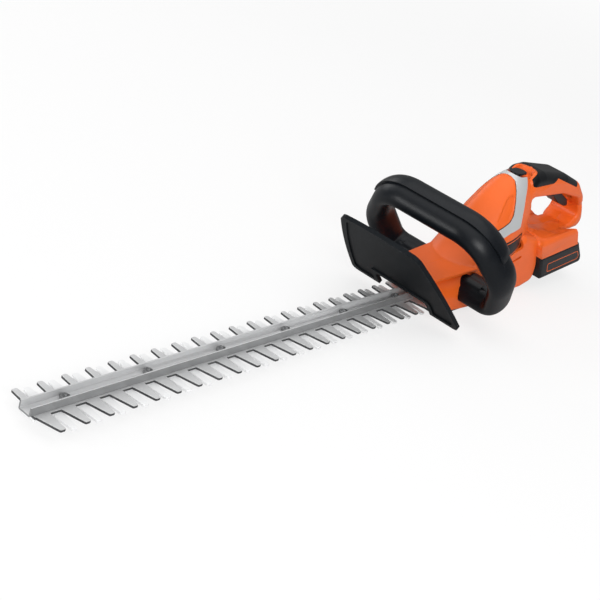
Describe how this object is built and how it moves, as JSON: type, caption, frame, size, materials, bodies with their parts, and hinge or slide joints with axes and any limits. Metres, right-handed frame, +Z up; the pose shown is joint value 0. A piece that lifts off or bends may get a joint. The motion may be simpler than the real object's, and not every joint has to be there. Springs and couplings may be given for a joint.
{
  "type": "cordless hedge trimmer",
  "caption": "Battery hedge trimmer with a double-sided reciprocating blade, hand guard, front loop handle, domed motor housing, rear grip with trigger and slide-off battery.",
  "frame": {"origin": "where the drive gear's axis meets the flat base of the gear case", "axes": "+X from the blade tip towards the battery along the blade, +Y to the operator's right, +Z up from the base"},
  "size_m": [0.7346, 0.1634, 0.126],
  "materials": {
    "orange": "satin moulded plastic",
    "black": "fine textured plastic",
    "silver": "satin silver plastic",
    "rubber": "soft moulded rubber",
    "battery_grey": "textured plastic",
    "battery_panel": "smooth plastic",
    "steel": "ground",
    "zinc": "zinc plated",
    "gear_steel": "hardened",
    "bronze": "sintered",
    "brass": "bright",
    "magnet": "ground ferrite",
    "cell_wrap": "shrunk sleeve"
  },
  "bodies": {
    "body": {"blade_channel": "steel", "blade_sleeves": "zinc", "blade_washers": "zinc", "blade_nuts": "zinc", "blade_bolts": "zinc", "guard": "black", "guard_screws": "zinc", "bail_front": "black", "bail_rear": "black", "bail_screws": "zinc", "housing_left": "orange", "housing_right": "orange", "housing_screws": "zinc", "base_cover": "black", "base_screws": "zinc", "gear_pillars": "zinc", "gear_plate": "zinc", "gear_bearing": "zinc", "lower_bush": "bronze", "motor_can": "zinc", "motor_magnets": "magnet", "motor_endcap": "black", "motor_screws": "zinc", "switch_body": "black", "trigger_pin": "zinc", "trigger_spring": "zinc", "lock_off_spring": "zinc", "grip_cover": "rubber", "stripe_left": "silver", "stripe_right": "silver", "name_plate": "black", "terminal_block": "black", "terminal_blades": "brass"},
    "upper_blade": {"upper_blade": "steel"},
    "lower_blade": {"lower_blade": "steel"},
    "gear_train": {"gear_shaft": "gear_steel", "drive_gear": "gear_steel", "lower_cam": "gear_steel", "upper_cam": "gear_steel"},
    "motor_rotor": {"armature": "gear_steel", "motor_pinion": "gear_steel"},
    "trigger": {"trigger": "black"},
    "lock_off": {"lock_off_button": "black"},
    "battery": {"battery_case_lower": "battery_grey", "battery_case_upper": "battery_grey", "battery_cells": "cell_wrap", "battery_contacts": "brass", "battery_side_panels": "battery_panel", "release_spring": "zinc"},
    "battery_release": {"release_button": "black"}
  },
  "joints": [
    {"name": "upper_blade_slide", "type": "slide", "parent": "body", "child": "upper_blade", "axis": [1, 0, 0], "range_m": [-0.0055, 0.0055]},
    {"name": "lower_blade_slide", "type": "slide", "parent": "body", "child": "lower_blade", "axis": [1, 0, 0], "range_m": [-0.0055, 0.0055]},
    {"name": "gear_spin", "type": "hinge", "parent": "body", "child": "gear_train", "pos_m": [0, 0, 0.01], "axis": [0, 0, 1], "continuous": true},
    {"name": "motor_spin", "type": "hinge", "parent": "body", "child": "motor_rotor", "pos_m": [0.03015, 0, 0.04], "axis": [0, 0, 1], "continuous": true},
    {"name": "trigger_squeeze", "type": "hinge", "parent": "body", "child": "trigger", "pos_m": [0.101, 0, 0.106], "axis": [0, -1, 0], "range_deg": [0, 5], "stiffness_Nm_per_rad": 0.6, "springref_deg": -17.19, "deforming": ["trigger_spring"]},
    {"name": "lock_off_press", "type": "slide", "parent": "body", "child": "lock_off", "axis": [0, 0, -1], "range_m": [0, 0.0035], "stiffness_N_per_m": 300, "springref_m": -0.004, "deforming": ["lock_off_spring"]},
    {"name": "battery_slide_off", "type": "slide", "parent": "body", "child": "battery", "axis": [0.9969, 0, 0.0785], "range_m": [0, 0.13]},
    {"name": "release_press", "type": "slide", "parent": "battery", "child": "battery_release", "axis": [-0.9969, 0, -0.0785], "range_m": [0, 0.0019], "stiffness_N_per_m": 300, "springref_m": -0.004, "deforming": ["release_spring"]}
  ],
  "couplings": [
    {"joint": "lower_blade_slide", "follows": "upper_blade_slide", "ratio": -1},
    {"joint": "motor_spin", "follows": "gear_spin", "ratio": -4}
  ]
}
